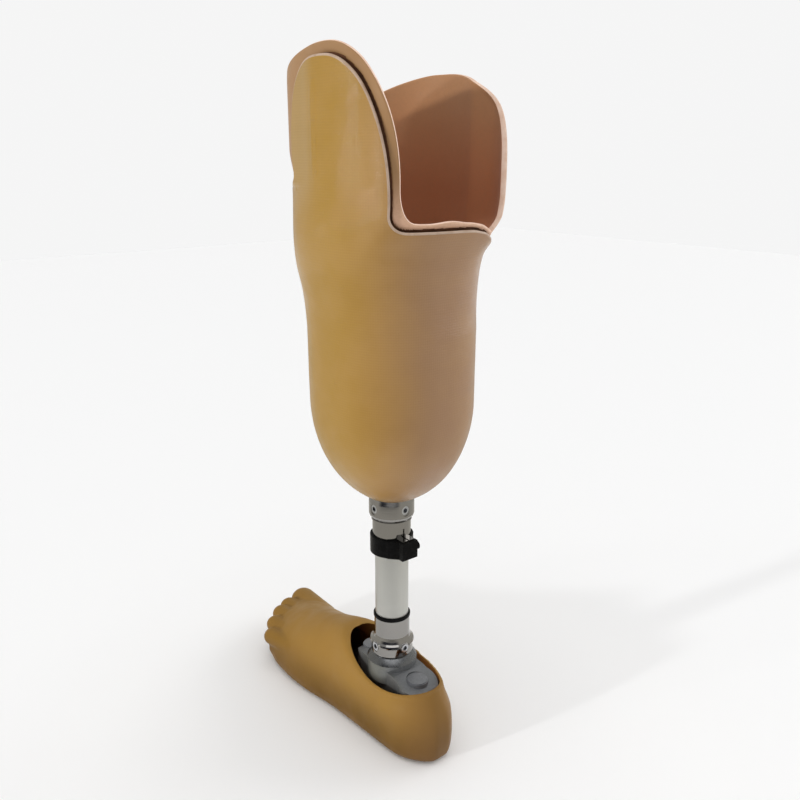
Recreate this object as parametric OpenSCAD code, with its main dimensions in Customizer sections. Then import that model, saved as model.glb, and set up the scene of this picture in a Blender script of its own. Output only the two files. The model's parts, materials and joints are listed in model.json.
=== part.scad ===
// Below-knee modular prosthesis, left leg: soft liner, laminated socket, pylon and foot.
// +Z is up, +Y is the walking direction, +X is medial. The origin is on the floor under the pylon.

/* [Foot] */
// Length of the foot shell from heel to big toe
foot_length = 302; // [296:1:306]
// Half width of the heel at the sole
heel_half_w = 32; // [31:0.5:34]
// Wall thickness of the foot shell around the springs
shell_wall = 4; // [3.5:0.1:4.2]
// Clear height from the floor to the inside of the sole
sole_t = 6; // [5:0.5:6]

/* [Pylon] */
// Outside diameter of the pylon tube
tube_d = 30; // [29.5:0.1:30]
// Wall thickness of the pylon tube
tube_wall = 2; // [1.5:0.1:2.5]
// Height of the ankle tilt centre above the floor
ankle_z = 59.3; // [59:0.1:60]
// Distance between the ankle and socket tilt centres
pylon_span = 198.4; // [190:0.1:230]

/* [Pyramid adapters] */
// Radius of the spherical dome under each receiver
dome_r = 28; // [27.8:0.1:28.2]
// Half width of the pyramid at the set screws
pyramid_w = 8.4; // [8:0.1:8.4]
// Diameter of the set screws
screw_d = 7.8; // [7.6:0.1:7.8]

/* [Socket] */
// Radial size of the residual-limb calf section, outside the shell
calf_size = 70; // [66:0.5:72]
// Thickness of the laminated shell
laminate_t = 3.5; // [3:0.1:4]
// Gap between the liner and the shell
liner_gap = 1.5; // [1.2:0.1:2]
// Thickness of the soft liner
liner_t = 5.5; // [4:0.1:6]
// Height of the socket wings above the shell's lower end
wing_rise = 352; // [345:1:360]

/* [Hidden] */
$fn = 64;
eps = 0.01;

// Heights of the chain from floor to socket
socket_z = ankle_z + pylon_span;
seat_r = 17;
seat_h = sqrt(dome_r * dome_r - seat_r * seat_r);
seat_gap = 0.25;
dome_base_h = 16.2;
screw_h = 31.4;
tip_h = 37.2;
flare = tan(8);
screw_gap = 0.35;
screw_hole_r = screw_d / 2 + 0.1;
tube_r = tube_d / 2;

// Ankle receiver, measured up from the ankle tilt centre
ankle_rim_z = ankle_z + seat_h;
receiver_r = 19.5;
sleeve_r = tube_r + 1;
cavity_r = 16;
tube_foot_z = ankle_z + 43.7;
sleeve_top_z = ankle_z + 58.2;
seal_h = 3.2;

// Tube clamp, measured down from the socket tilt centre
clamp_rim_z = socket_z - seat_h;
collar_r = 20;
tube_top_z = socket_z - 44.7;
clamp_foot_z = socket_z - 74.4;
clamp_sleeve_r = tube_r + 2;
ear_out = 24;
ear_half_w = 6.5;
slot_w = 1.6;
band_h = 16;
band_r = 19.2;
block_half_w = 8.3;
block_out = 26;
clamp_screw_y = -21.2;
clamp_shank_r = 1.95;
clamp_hole_r = 2.05;
clamp_head_r = 3.7;
clamp_screw_z = clamp_foot_z + band_h / 2;

// Socket: height of the widest calf section and depth of the rounded lower end
socket_foot_z = socket_z - 26.2;
calf_z = socket_foot_z + 94;
brim_z = socket_foot_z + 212;
flare_h = 32;
hole_r = 27;
oval_n = 2.4;
oval_x = 0.905;
oval_y = 0.975;
shell_cap = 94;
shell_inner_cap = 87.5;
liner_inset = laminate_t + liner_gap;
liner_cap = 71;
liner_inner_cap = 63;
skin_inset = liner_inset + liner_t;
notch_z = socket_foot_z + 242;
front_z = socket_foot_z + 299;
lateral_top = socket_foot_z + wing_rise + 13;
medial_top = socket_foot_z + wing_rise - 1;
shell_drop = 9;

function mix(a, b, t) = a + (b - a) * t;
function ease(t) = let (c = min(1, max(0, t))) c * c * (3 - 2 * c);

// Smooth curve through [position, value] keys
function slope(k, i) =
    let (a = max(0, i - 1), b = min(len(k) - 1, i + 1)) (k[b][1] - k[a][1]) / (k[b][0] - k[a][0]);
function span_of(k, x, i = 0) = i >= len(k) - 2 || x < k[i + 1][0] ? i : span_of(k, x, i + 1);
function curve_at(k, x) =
    let (
        p = min(k[len(k) - 1][0], max(k[0][0], x)),
        i = span_of(k, p),
        w = k[i + 1][0] - k[i][0],
        t = (p - k[i][0]) / w,
        m = (1 - t) * (1 - t)
    )
    k[i][1] * (1 + 2 * t) * m + slope(k, i) * w * t * m
    + k[i + 1][1] * t * t * (3 - 2 * t) - slope(k, i + 1) * w * t * t * (1 - t);

// Radial size and medial shift of the socket against height
size_keys = [
    [calf_z, calf_size], [calf_z + 70, calf_size + 0.5], [calf_z + 90, calf_size + 1.8],
    [calf_z + 110, calf_size + 4.8], [calf_z + 130, calf_size + 8], [calf_z + 165, calf_size + 10.5],
    [calf_z + 280, calf_size + 10.5]
];
shift_keys = [
    [calf_z + 60, 0], [calf_z + 90, -1.5], [calf_z + 110, -2.6], [calf_z + 130, -1],
    [calf_z + 165, 2], [calf_z + 280, 2]
];

// Size of the socket's section at a height, for a surface inset from the outside
function section(z, inset, cap) =
    z < calf_z
        ? (calf_size - inset) * sqrt(max(0, 1 - pow((calf_z - z) / cap, 2)))
        : curve_at(size_keys, z) - inset;

// Flare of the brim: behind the knee, at the medial wing's rear edge, and at the lateral wing's front
function brim_flare(bearing, z) =
    let (away = min(bearing, 0.8 * (359.5 - bearing)))
    9 * ease((z - brim_z) / flare_h) * ease((58 - away) / 20)
    + 5 * ease((z - brim_z) / flare_h) * ease((bearing - 286) / 18) * ease((345 - bearing) / 20)
    + 4.5 * ease((z - front_z + 33) / 14) * ease((bearing - 100) / 34) * ease((180 - bearing) / 30);

// Point on the socket: bearing is measured from behind the knee towards the lateral side
function wall_point(bearing, z, inset, cap) =
    let (
        s = section(z, inset, cap),
        c = -sin(bearing),
        d = -cos(bearing),
        r = pow(pow(abs(c) / oval_x, oval_n) + pow(abs(d) / oval_y, oval_n), -1 / oval_n) * s
            + brim_flare(bearing, z),
        shift = curve_at(shift_keys, z)
    )
    [r * c + shift * 0.78, r * d - shift * 0.62, z];

arch_steps = [0, 1, 4, 10, 20, 30, 40, 50, 60, 70, 80];

// One flank of a wing: a concave fillet at the foot, then a superellipse arch up to the peak
function flank(edge, peak, low, high, bow, fillet_a, fillet_h) =
    let (side = sign(peak - edge))
    concat(
        [for (a = [0:30:60]) [edge - side * fillet_a * (1 - sin(a)), low + fillet_h * (1 - cos(a))]],
        [for (a = arch_steps) [
            peak - (peak - edge) * pow(cos(a), bow),
            low + fillet_h + (high - low - fillet_h) * pow(sin(a), bow)
        ]]
    );
function reversed(list) = [for (i = [len(list) - 1:-1:0]) list[i]];

// Closed line of the brim as [bearing, height], from the middle of the notch round the lateral side.
// The notch dips towards the inner hamstring. fore is the lateral wing's front: [edge, bow, fillet, foot],
// and back the bearing of the medial wing's rear edge.
function brim(tuck, drop, fore, back) =
    let (notch = notch_z - drop, front = fore[3], outer = lateral_top - drop, inner = medial_top - drop)
    concat(
        [for (a = [0, 9, 18]) [a, notch]],
        flank(36 + tuck, 82, notch, outer, 0.86, 10, 24 - drop),
        [[82, outer]],
        reversed(flank(fore[0], 82, front, outer, fore[1], fore[2], 10)),
        [for (a = [136:8:176]) if (a > fore[0] + fore[2] + 2) [a, front]],
        flank(186 + tuck, 250, front, inner, 1.2, 8, 10),
        [[250, inner]],
        reversed(flank(back, 250, notch - 13, inner, 0.6, 6, 14)),
        [for (a = [304:6:316]) if (a > back + 8) [a, notch - 13]],
        [[322, notch - 13], [331, notch - 8], [340, notch - 3], [350, notch - 0.5]]
    );
liner_fore = [150, 0.95, 8, front_z];
shell_fore = [114, 0.6, 16, front_z - 36];

// Rings of one socket surface, from its lower end up to the brim; the flare takes four of the last ten
function cap_rings(line, inset, cap, start_r) =
    let (first = asin(start_r / (calf_size - inset)))
    [for (i = [0:6]) let (a = mix(first, 90, i / 7))
        [for (p = line) wall_point(p[0], calf_z - cap * cos(a), inset, cap)]];
function rise(top, t) =
    let (knee = min(brim_z + flare_h, mix(brim_z, top, 0.5)))
    t < 0.4 ? mix(brim_z, knee, t / 0.4) : mix(knee, top, (t - 0.4) / 0.6);
function wall_rings(line, inset, cap) = concat(
    [for (i = [0:5]) [for (p = line) wall_point(p[0], mix(calf_z, brim_z, i / 6), inset, cap)]],
    [for (i = [0:10]) [for (p = line) wall_point(p[0], rise(p[1], i / 10), inset, cap)]]
);

// Solid through closed rings of equal length: a loop of rings, or a stack closed by its end rings
module loft(rings, loop = false) {
    n = len(rings[0]);
    m = len(rings);
    hubs = [for (r = [rings[0], rings[m - 1]]) [for (i = [0:2]) [for (p = r) p[i]] * [for (p = r) 1] / n]];
    last = loop ? m - 1 : m - 2;
    walls = [for (i = [0:last], j = [0:n - 1])
        let (a = i * n, b = ((i + 1) % m) * n, k = (j + 1) % n)
        [a + k, b + k, b + j, a + j]];
    ends = loop ? [] : concat(
        [for (j = [0:n - 1]) [m * n, (j + 1) % n, j]],
        [for (j = [0:n - 1]) [m * n + 1, (m - 1) * n + j, (m - 1) * n + (j + 1) % n]]
    );
    polyhedron(
        points = concat([for (r = rings, p = r) p], loop ? [] : hubs),
        faces = concat(walls, ends),
        convexity = 8
    );
}

// Ring of a given section with a bore
module ring(r_out, r_in, z, h) {
    translate([0, 0, z])
        difference() {
            cylinder(r = r_out, h = h);
            translate([0, 0, -1]) cylinder(r = r_in, h = h + 2);
        }
}

// ---- Socket and liner ----

module soft_liner() {
    line = brim(0, 0, liner_fore, 312);
    color("#d8a68c")
        loft(concat(
            cap_rings(line, liner_inset, liner_cap, 4),
            wall_rings(line, liner_inset, liner_cap),
            reversed(wall_rings(line, skin_inset, liner_inner_cap)),
            reversed(cap_rings(line, skin_inset, liner_inner_cap, 4))
        ));
}

// Gel pad that fills the bottom of the liner
module distal_end_pad() {
    bottom = calf_z - liner_inner_cap;
    rim = [for (i = [0:5]) let (z = bottom + 1.2 + i * 2)
        [oval_x * section(z, skin_inset, liner_inner_cap) - 0.8, z]];
    color("#e6c9a8")
        rotate_extrude() polygon(concat([[0, bottom + 1.2]], rim, [[0, rim[5][1]]]));
}

module socket_shell() {
    line = brim(7, shell_drop, shell_fore, 296);
    color("#b98f52")
        loft(concat(
            cap_rings(line, 0, shell_cap, hole_r),
            wall_rings(line, 0, shell_cap),
            reversed(wall_rings(line, laminate_t, shell_inner_cap)),
            reversed(cap_rings(line, laminate_t, shell_inner_cap, hole_r))
        ), loop = true);
}

anchor_z = socket_z - 10;
anchor_t = 4;
anchor_r = 26.4;
hub_r = hole_r * oval_x - 0.6;
anchor_bolt_r = 15.5;

// Plate laminated into the lower end, with four arms that follow the inside of the shell
module socket_anchor() {
    arm_t = 2.5;
    outer = [for (i = [0:5]) let (z = anchor_z + i * 6)
        [0.94 * section(z, laminate_t, shell_inner_cap) - 0.5, z]];
    inner = [for (p = reversed(outer)) [p[0] - arm_t, p[1]]];
    color("#9a9da1")
        difference() {
            union() {
                translate([0, 0, anchor_z]) cylinder(r = anchor_r, h = anchor_t);
                for (a = [45:90:315])
                    rotate([0, 0, a - 11]) rotate_extrude(angle = 22) polygon(concat(outer, inner));
            }
            for (a = [45:90:315])
                rotate([0, 0, a]) translate([anchor_bolt_r, 0, anchor_z - 1]) cylinder(r = 3.1, h = 6);
            for (a = [45:90:315])
                rotate([0, 0, a]) translate([anchor_bolt_r, 0, anchor_z + anchor_t - 2.4])
                    cylinder(r = 5.3, h = 3);
        }
}

// Square frustum that widens towards its tip, on a spherical dome
module pyramid_head() {
    neck_h = 24;
    neck_w = pyramid_w - (screw_h - neck_h) * flare;
    tip_w = pyramid_w + (tip_h - screw_h) * flare;
    side = [[-neck_w, neck_h], [neck_w, neck_h], [tip_w, tip_h], [-tip_w, tip_h]];
    intersection() {
        sphere(r = dome_r, $fn = 96);
        translate([0, 0, dome_base_h]) cylinder(r = dome_r, h = dome_r);
    }
    intersection() {
        rotate([90, 0, 0]) linear_extrude(height = 40, center = true) polygon(side);
        rotate([90, 0, 90]) linear_extrude(height = 40, center = true) polygon(side);
        cylinder(r = 10.2, h = tip_h + 1);
    }
}

module socket_pyramid() {
    color("#a8abb0")
        difference() {
            union() {
                translate([0, 0, socket_z]) mirror([0, 0, 1]) pyramid_head();
                translate([0, 0, socket_z - dome_base_h - eps])
                    cylinder(r = hub_r, h = dome_base_h - 10 + eps);
            }
            for (a = [45:90:315])
                rotate([0, 0, a]) translate([anchor_bolt_r, 0, anchor_z - 6]) cylinder(r = 3, h = 8);
        }
}

module anchor_screws() {
    color("#6f7276")
        for (a = [45:90:315])
            rotate([0, 0, a]) translate([anchor_bolt_r, 0, 0])
                difference() {
                    union() {
                        translate([0, 0, anchor_z - 5.8]) cylinder(r = 2.9, h = 8);
                        translate([0, 0, anchor_z + anchor_t - 2.3]) cylinder(r = 5.2, h = 2.2);
                    }
                    translate([0, 0, anchor_z + anchor_t - 1.6]) cylinder(r = 2.2, h = 3, $fn = 6);
                }
}

// ---- Set screws: a shank with a ball point and a hex socket, pointing at the pylon axis ----

module set_screw(bearing, z) {
    point_r = 3;
    start = pyramid_w + screw_gap;
    out = collar_r - 0.8;
    translate([0, 0, z]) rotate([0, 90, bearing])
        difference() {
            union() {
                translate([0, 0, start + point_r]) sphere(r = point_r, $fn = 32);
                translate([0, 0, start + point_r]) cylinder(d = screw_d, h = out - start - point_r);
            }
            translate([0, 0, out - 4]) cylinder(r = 2.3, h = 5, $fn = 6);
        }
}

socket_screw_z = socket_z - screw_h;
ankle_screw_z = ankle_z + screw_h;

module socket_side_set_screws() {
    color("#b9bcc0") for (a = [0, 180]) set_screw(a, socket_screw_z);
}

module socket_front_set_screw() {
    color("#b9bcc0") set_screw(90, socket_screw_z);
}

module socket_rear_set_screw() {
    color("#b9bcc0") set_screw(-90, socket_screw_z);
}

module ankle_fore_aft_set_screws() {
    color("#b9bcc0") for (a = [90, 270]) set_screw(a, ankle_screw_z);
}

module ankle_medial_set_screw() {
    color("#b9bcc0") set_screw(0, ankle_screw_z);
}

module ankle_lateral_set_screw() {
    color("#b9bcc0") set_screw(180, ankle_screw_z);
}

// Threaded holes and spot faces for four set screws
module set_screw_holes(z, spot) {
    for (a = [0:90:270])
        translate([0, 0, z]) rotate([0, 90, a]) {
            translate([0, 0, 8]) cylinder(r = screw_hole_r, h = 16);
            translate([0, 0, spot]) cylinder(r = 5.2, h = 5);
        }
}

// ---- Tube clamp ----

module tube_clamp() {
    color("#c9cbce")
        difference() {
            union() {
                translate([0, 0, clamp_foot_z])
                    cylinder(r = clamp_sleeve_r, h = clamp_rim_z - clamp_foot_z - 16);
                translate([0, 0, clamp_rim_z - 22]) cylinder(r = clamp_sleeve_r + 0.8, h = 1.6);
                rotate_extrude()
                    polygon([
                        [0, clamp_rim_z - 19.5], [clamp_sleeve_r + 0.9, clamp_rim_z - 19.5],
                        [collar_r - 0.6, clamp_rim_z - 17.8], [collar_r, clamp_rim_z - 16],
                        [collar_r, clamp_rim_z - 4], [18.4, clamp_rim_z], [0, clamp_rim_z]
                    ]);
                translate([-ear_half_w, -ear_out, clamp_foot_z])
                    cube([2 * ear_half_w, ear_out - tube_r, band_h + 0.8]);
            }
            translate([0, 0, clamp_foot_z - 1]) cylinder(r = tube_r + 0.05, h = tube_top_z - clamp_foot_z + 1.3);
            translate([0, 0, tube_top_z - 1]) cylinder(r = 12, h = 6);
            translate([0, 0, clamp_rim_z - 18.6]) cylinder(r = cavity_r, h = 20);
            translate([0, 0, socket_z]) sphere(r = dome_r + seat_gap, $fn = 96);
            set_screw_holes(socket_screw_z, collar_r - 0.6);
            translate([-slot_w / 2, -ear_out - 1, clamp_foot_z - 1])
                cube([slot_w, ear_out, 26]);
            translate([-20, clamp_screw_y, clamp_screw_z]) rotate([0, 90, 0])
                cylinder(r = clamp_hole_r, h = 40);
        }
}

// Band that squeezes the slotted sleeve; its block encloses the two ears
module clamp_band() {
    play = 0.15;
    web = [
        [-16.5, -8], [-14.8, -13.5], [-block_half_w, -20.8], [block_half_w, -17.2], [0, -17.2]
    ];
    color("#1b1b1c")
        difference() {
            union() {
                translate([0, 0, clamp_foot_z - 0.5]) cylinder(r = band_r, h = band_h);
                translate([-block_half_w, -block_out, clamp_foot_z - 0.5])
                    cube([2 * block_half_w, block_out - tube_r, band_h]);
                translate([0, 0, clamp_foot_z - 0.5]) linear_extrude(height = band_h) polygon(web);
            }
            translate([0, 0, clamp_foot_z - 2]) cylinder(r = clamp_sleeve_r + play, h = band_h + 4);
            translate([-ear_half_w - play, -ear_out - play, clamp_foot_z - play])
                cube([2 * (ear_half_w + play), ear_out - tube_r + 4, band_h + 4]);
            translate([-block_half_w + 1.2, clamp_screw_y, clamp_screw_z]) rotate([0, 90, 0])
                cylinder(r = clamp_hole_r, h = 2 * block_half_w);
        }
}

// Cap screw across the slot: head on the medial side, thread in the lateral half of the block
module clamp_screw() {
    color("#232324")
        translate([0, clamp_screw_y, clamp_screw_z]) rotate([0, 90, 0])
            difference() {
                union() {
                    translate([0, 0, -block_half_w + 1.6]) cylinder(r = clamp_shank_r, h = 2 * block_half_w - 0.6);
                    translate([0, 0, block_half_w + 0.1]) cylinder(r = clamp_head_r, h = 3.6);
                }
                translate([0, 0, block_half_w + 1.5]) cylinder(r = 1.7, h = 4, $fn = 6);
            }
}

// ---- Pylon ----

module pylon_tube() {
    color("#bdbdb8") ring(tube_r, tube_r - tube_wall, tube_foot_z, tube_top_z - tube_foot_z);
}

// Rubber ring that closes the top of the ankle sleeve
module tube_seal_ring() {
    color("#141414")
        rotate_extrude()
            translate([tube_r + 0.02, sleeve_top_z])
                polygon([[0, 0.05], [1.3, 0.05], [1.7, 0.5], [1.7, seal_h - 0.7], [1.1, seal_h], [0, seal_h]]);
}

module ankle_receiver() {
    color("#cfd1d4")
        difference() {
            rotate_extrude()
                polygon([
                    [0, ankle_rim_z], [18.2, ankle_rim_z], [receiver_r - 0.5, ankle_rim_z + 1.6],
                    [receiver_r - 0.5, ankle_rim_z + 9.4], [receiver_r + 0.3, ankle_rim_z + 10],
                    [receiver_r + 0.8, ankle_rim_z + 11.4], [receiver_r + 0.3, ankle_rim_z + 12.8],
                    [18.4, ankle_rim_z + 14.2], [17, ankle_rim_z + 16.2],
                    [sleeve_r + 0.2, ankle_rim_z + 19], [sleeve_r, sleeve_top_z], [0, sleeve_top_z]
                ]);
            translate([0, 0, ankle_rim_z - 1]) cylinder(r = cavity_r, h = 13);
            translate([0, 0, ankle_rim_z + 11]) cylinder(r = 15, h = 5.6);
            translate([0, 0, ankle_rim_z + 16]) cylinder(r = tube_r - tube_wall, h = 8);
            translate([0, 0, tube_foot_z]) cylinder(r = tube_r, h = 40);
            translate([0, 0, ankle_z]) sphere(r = dome_r + seat_gap, $fn = 96);
            set_screw_holes(ankle_screw_z, receiver_r - 0.9);
        }
}

// ---- Foot core ----

adapter_top = ankle_z + dome_base_h - 0.1;
adapter_foot = 45.5;
rear_bolt_y = -36.6;
front_bolt_y = 29;
cap_r = 9.8;
spring_w = 46;
spring_x = 2;
spring_t = 6;
heel_spring_t = 4.5;
spring_top = adapter_foot - 2;

module ankle_pyramid() {
    color("#75787c")
        difference() {
            translate([0, 0, ankle_z]) pyramid_head();
            translate([0, 0, adapter_top]) cylinder(r = 5, h = 14);
        }
}

// Bolt from under the adapter into the pyramid
module pyramid_bolt() {
    color("#5d6063")
        difference() {
            union() {
                translate([0, 0, adapter_foot + 8.2]) cylinder(r = 4.9, h = adapter_top - adapter_foot + 5);
                translate([0, 0, adapter_foot + 0.4]) cylinder(r = 8, h = 8);
            }
            translate([0, 0, adapter_foot - 1]) cylinder(r = 4, h = 5, $fn = 6);
        }
}

// Cast bridge with a round boss under the pyramid and a seat at each end for a bolt
module foot_adapter() {
    rear_r = 19;
    front_r = 17.5;
    front_y = 24;
    side = [
        [-57, adapter_foot], [-57, 57.5], [-50, 63], [-24, 70], [24, 72.5], [33, 70.5],
        [43, 63.5], [43, adapter_foot]
    ];
    color("#77787a")
        difference() {
            union() {
                intersection() {
                    rotate([90, 0, 90]) linear_extrude(height = 60, center = true) polygon(side);
                    union() {
                        translate([0, rear_bolt_y, 0]) cylinder(r = rear_r, h = 100);
                        translate([0, front_y, 0]) cylinder(r = front_r, h = 100);
                        translate([-17.5, rear_bolt_y, 0]) cube([35, front_y - rear_bolt_y, 100]);
                    }
                }
                translate([0, 0, adapter_foot + 12]) cylinder(r = 22.6, h = adapter_top - adapter_foot - 12);
                translate([0, 0, adapter_foot + 6]) cylinder(r1 = 18, r2 = 22.6, h = 6 + eps);
            }
            translate([0, 0, adapter_foot - 1]) cylinder(r = 5, h = 40);
            translate([0, 0, adapter_foot - 1]) cylinder(r = 8.2, h = 9.6);
            for (y = [rear_bolt_y, front_bolt_y])
                translate([0, y, 0]) {
                    translate([0, 0, adapter_foot - 1]) cylinder(r = 4.1, h = 40);
                    translate([0, 0, adapter_foot + 10]) cylinder(r = cap_r + 0.1, h = 40);
                }
        }
}

module adapter_pad() {
    color("#2b2b2b")
        difference() {
            translate([-17, -53, spring_top + 0.05]) cube([34, 92, 1.9]);
            for (y = [rear_bolt_y, front_bolt_y])
                translate([0, y, spring_top - 1]) cylinder(r = 4.2, h = 5);
        }
}

module adapter_bolts() {
    color("#5d6063")
        for (y = [rear_bolt_y, front_bolt_y])
            translate([0, y, 0]) {
                translate([0, 0, spring_top - spring_t - 6]) cylinder(r = 3.95, h = 25);
                translate([0, 0, adapter_foot + 10.1]) cylinder(r = 7.5, h = 5);
                translate([0, 0, spring_top - spring_t - 6.2]) cylinder(r = 6.5, h = 5.9, $fn = 6);
            }
}

// Grey plugs over the bolt heads
module adapter_bolt_caps() {
    cap_top = [[rear_bolt_y, 68.7], [front_bolt_y, 72.4]];
    color("#85868a")
        for (c = cap_top)
            translate([0, c[0], adapter_foot + 15.3]) {
                cylinder(r = cap_r, h = c[1] - adapter_foot - 16.1);
                cylinder(r = cap_r - 0.8, h = c[1] - adapter_foot - 15.3);
            }
}

// Height of the middle of each carbon spring along the foot
function fore_z(y) = spring_top - spring_t / 2 - (spring_top - 18) * ease((y - 34) / 112);
function heel_z(y) = y > 100 ? fore_z(y) - 5.5 : mix(11.6, fore_z(100) - 5.5, ease((y - 50) / 50));

// Side view of a plate that follows a height function, tapering to its front end
module plate_profile(from, to, fore, thick) {
    steps = 24;
    ys = [for (i = [0:steps]) mix(from, to, i / steps)];
    half = [for (y = ys) thick / 2 * mix(1, 0.72, ease((y - 100) / 60))];
    top = [for (i = [0:steps]) [ys[i], (fore ? fore_z(ys[i]) : heel_z(ys[i])) + half[i]]];
    low = [for (i = [steps:-1:0]) [ys[i], (fore ? fore_z(ys[i]) : heel_z(ys[i])) - half[i]]];
    polygon(concat(top, low));
}

spring_bolt_y = 112;
spring_bolt_x = 11;

module forefoot_spring() {
    color("#202124")
        difference() {
            translate([spring_x, 0, 0])
                intersection() {
                    rotate([90, 0, 90]) linear_extrude(height = spring_w, center = true)
                        plate_profile(-52, 164, true, spring_t);
                    union() {
                        translate([-spring_w / 2, -29, 0]) cube([spring_w, 159, 80]);
                        translate([0, -29, 0]) cylinder(r = spring_w / 2, h = 80);
                        translate([-2, 141, 0]) cylinder(r = spring_w / 2, h = 80);
                    }
                }
            for (y = [rear_bolt_y, front_bolt_y])
                translate([0, y, 30]) cylinder(r = 4.2, h = 30);
            for (x = [-spring_bolt_x, spring_bolt_x])
                translate([spring_x + x, spring_bolt_y, 2]) cylinder(r = 3.1, h = 40);
        }
}

module heel_spring() {
    color("#26272a")
        difference() {
            translate([spring_x - 1, 0, 0])
                intersection() {
                    rotate([90, 0, 90]) linear_extrude(height = 40, center = true)
                        plate_profile(-56, 121, false, heel_spring_t);
                    union() {
                        translate([-20, -36, 0]) cube([40, 170, 60]);
                        translate([0, -36, 0]) cylinder(r = 20, h = 60);
                    }
                }
            for (x = [-spring_bolt_x, spring_bolt_x])
                translate([spring_x + x, spring_bolt_y, 2]) cylinder(r = 3.1, h = 40);
        }
}

// Two short bolts that join the springs under the ball of the foot
module spring_bolts() {
    top = fore_z(spring_bolt_y) + spring_t / 2 + 1.9;
    foot = heel_z(spring_bolt_y) - heel_spring_t / 2;
    color("#5d6063")
        for (x = [-spring_bolt_x, spring_bolt_x])
            translate([spring_x + x, spring_bolt_y, 0]) {
                translate([0, 0, foot - 0.5]) cylinder(r = 3, h = top - foot + 1);
                translate([0, 0, top]) cylinder(r = 5.5, h = 3);
            }
}

module heel_cushion() {
    color("#3a3532")
        translate([1, -34, sole_t + 0.5]) cylinder(r = 17, h = 11.6 - heel_spring_t / 2 - sole_t - 0.7);
}

// ---- Foot shell ----

heel_y = -72;
toe_reach = foot_length + heel_y;
tip_s = toe_reach - 21;

// Borders, instep height and skew of the foot against the distance along it
lateral_keys = [
    [heel_y, -22], [-45, -heel_half_w + 3], [10, -33], [60, -36.5], [105, -42.5], [140, -44.5], [tip_s, -41]
];
medial_keys = [
    [heel_y, 22], [-45, heel_half_w - 2], [10, 31], [60, 32], [110, 40], [155, 48], [tip_s, 45]
];
instep_keys = [
    [heel_y, 146], [-20, 146], [30, 118], [53, 86], [80, 74.5], [115, 63], [155, 49], [190, 39], [tip_s, 36]
];
skew_keys = [[40, 0], [120, 0.25], [tip_s, 0.66]];

// Rise of the sole under the toes
function toe_spring(s) = 10 * ease((s - 135) / 80);

// Half outline closed round the heel and the toes: 1 in the middle, 0 at each end
function end_fade(s, rear, front) =
    s < rear + 40
        ? pow(max(0, 1 - pow((rear + 40 - s) / 40, 2.3)), 1 / 2.3)
        : s > front - 28 ? pow(max(0, 1 - pow((s - front + 28) / 28, 2.8)), 1 / 2.8) : 1;

// Side of the foot at station s and height z; the heel leans forward towards the ankle
function side_x(keys, s, z, rear, front, inset) =
    let (
        h = curve_at(instep_keys, s) - inset,
        up = pow(max(0, 1 - pow(max(0, z / h), 2.6)), 1 / 2.2),
        x = curve_at(keys, s)
    )
    sign(x) * max(0, abs(x) - inset) * up * end_fade(s, rear, front);

// One ring of the foot: v = 0 is just above the sole, v = 1 the ankle rim
function foot_ring(v, inset, low) =
    let (
        inside = inset > 0,
        rim_y = inside ? 50 : 53,
        rim_rear = heel_y + (inside ? 14 : 11),
        rim_half = inside ? 27 : 30,
        tip = tip_s - inset * 4,
        rear_z = mix(low, rim_rear_z, v),
        rear = mix(heel_y + inset, rim_rear, pow(v, 1.6)) - (inside ? 2.4 : 4) * sin(180 * v),
        front = mix(tip, rim_y, pow(v, 1.5)),
        blunt = pow(max(0, 1 - pow(max(0, (front - tip + 26) / 26), 2.5)), 0.4),
        front_z = v >= 1 ? rim_front_z : min(rim_front_z, max(low, (curve_at(instep_keys, front) - inset) * blunt))
    )
    [for (j = [0:foot_cols - 1])
        let (
            a = j * 360 / foot_cols,
            t = 0.5 - 0.5 * cos(a),
            s = mix(rear, front, t),
            lateral = a < 180,
            z = mix(rear_z, front_z, pow(t, 1.2)) - (lateral ? 12.5 : 6) * v * v * pow(sin(a), 2),
            wide = abs(side_x(lateral ? lateral_keys : medial_keys, s, z, rear - 1, front + 3, inset)),
            oval = rim_half * pow(abs(sin(a)), 0.9),
            x = abs(sin(a)) < 0.01 ? 0 : mix(wide, min(wide, oval), ease((v - 0.5) / 0.5)),
            side_sign = lateral ? -1 : 1,
            y = s + curve_at(skew_keys, s) * side_sign * x
        )
        [side_sign * x, y, z + toe_spring(s)]];

// Ring scaled in plan about the middle of the foot, at its own height above the sprung sole
function drawn_in(ring, across, fore, aft, z) =
    [for (p = ring) let (y = 30 + (p[1] - 30) * (p[1] > 30 ? fore : aft))
        [p[0] * across, y, z + (z > 0 ? toe_spring(y) : 0)]];

foot_cols = 64;
sole_edge = 12;
rim_rear_z = ankle_z + 9;
rim_front_z = ankle_z + 20;

module foot_shell() {
    outer = foot_ring(0, 0, sole_edge);
    inner = foot_ring(0, shell_wall, sole_t + 8);
    color("#a8844a")
        loft(concat(
            [
                drawn_in(outer, 0.78, 0.64, 0.88, 0),
                drawn_in(outer, 0.9, 0.86, 0.95, 2),
                drawn_in(outer, 0.97, 0.97, 0.985, 6)
            ],
            [for (i = [0:11]) foot_ring(i / 11, 0, sole_edge)],
            [for (i = [11:-1:0]) foot_ring(i / 11, shell_wall, sole_t + 8)],
            [drawn_in(inner, 0.96, 0.97, 0.97, sole_t + 2), drawn_in(inner, 0.84, 0.9, 0.9, sole_t)]
        ));
}

soft_liner();
distal_end_pad();
socket_shell();
socket_anchor();
socket_pyramid();
anchor_screws();
tube_clamp();
clamp_band();
clamp_screw();
socket_side_set_screws();
socket_front_set_screw();
socket_rear_set_screw();
pylon_tube();
tube_seal_ring();
ankle_receiver();
ankle_fore_aft_set_screws();
ankle_medial_set_screw();
ankle_lateral_set_screw();
ankle_pyramid();
pyramid_bolt();
foot_adapter();
adapter_pad();
adapter_bolts();
adapter_bolt_caps();
forefoot_spring();
heel_spring();
spring_bolts();
heel_cushion();
foot_shell();
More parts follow.
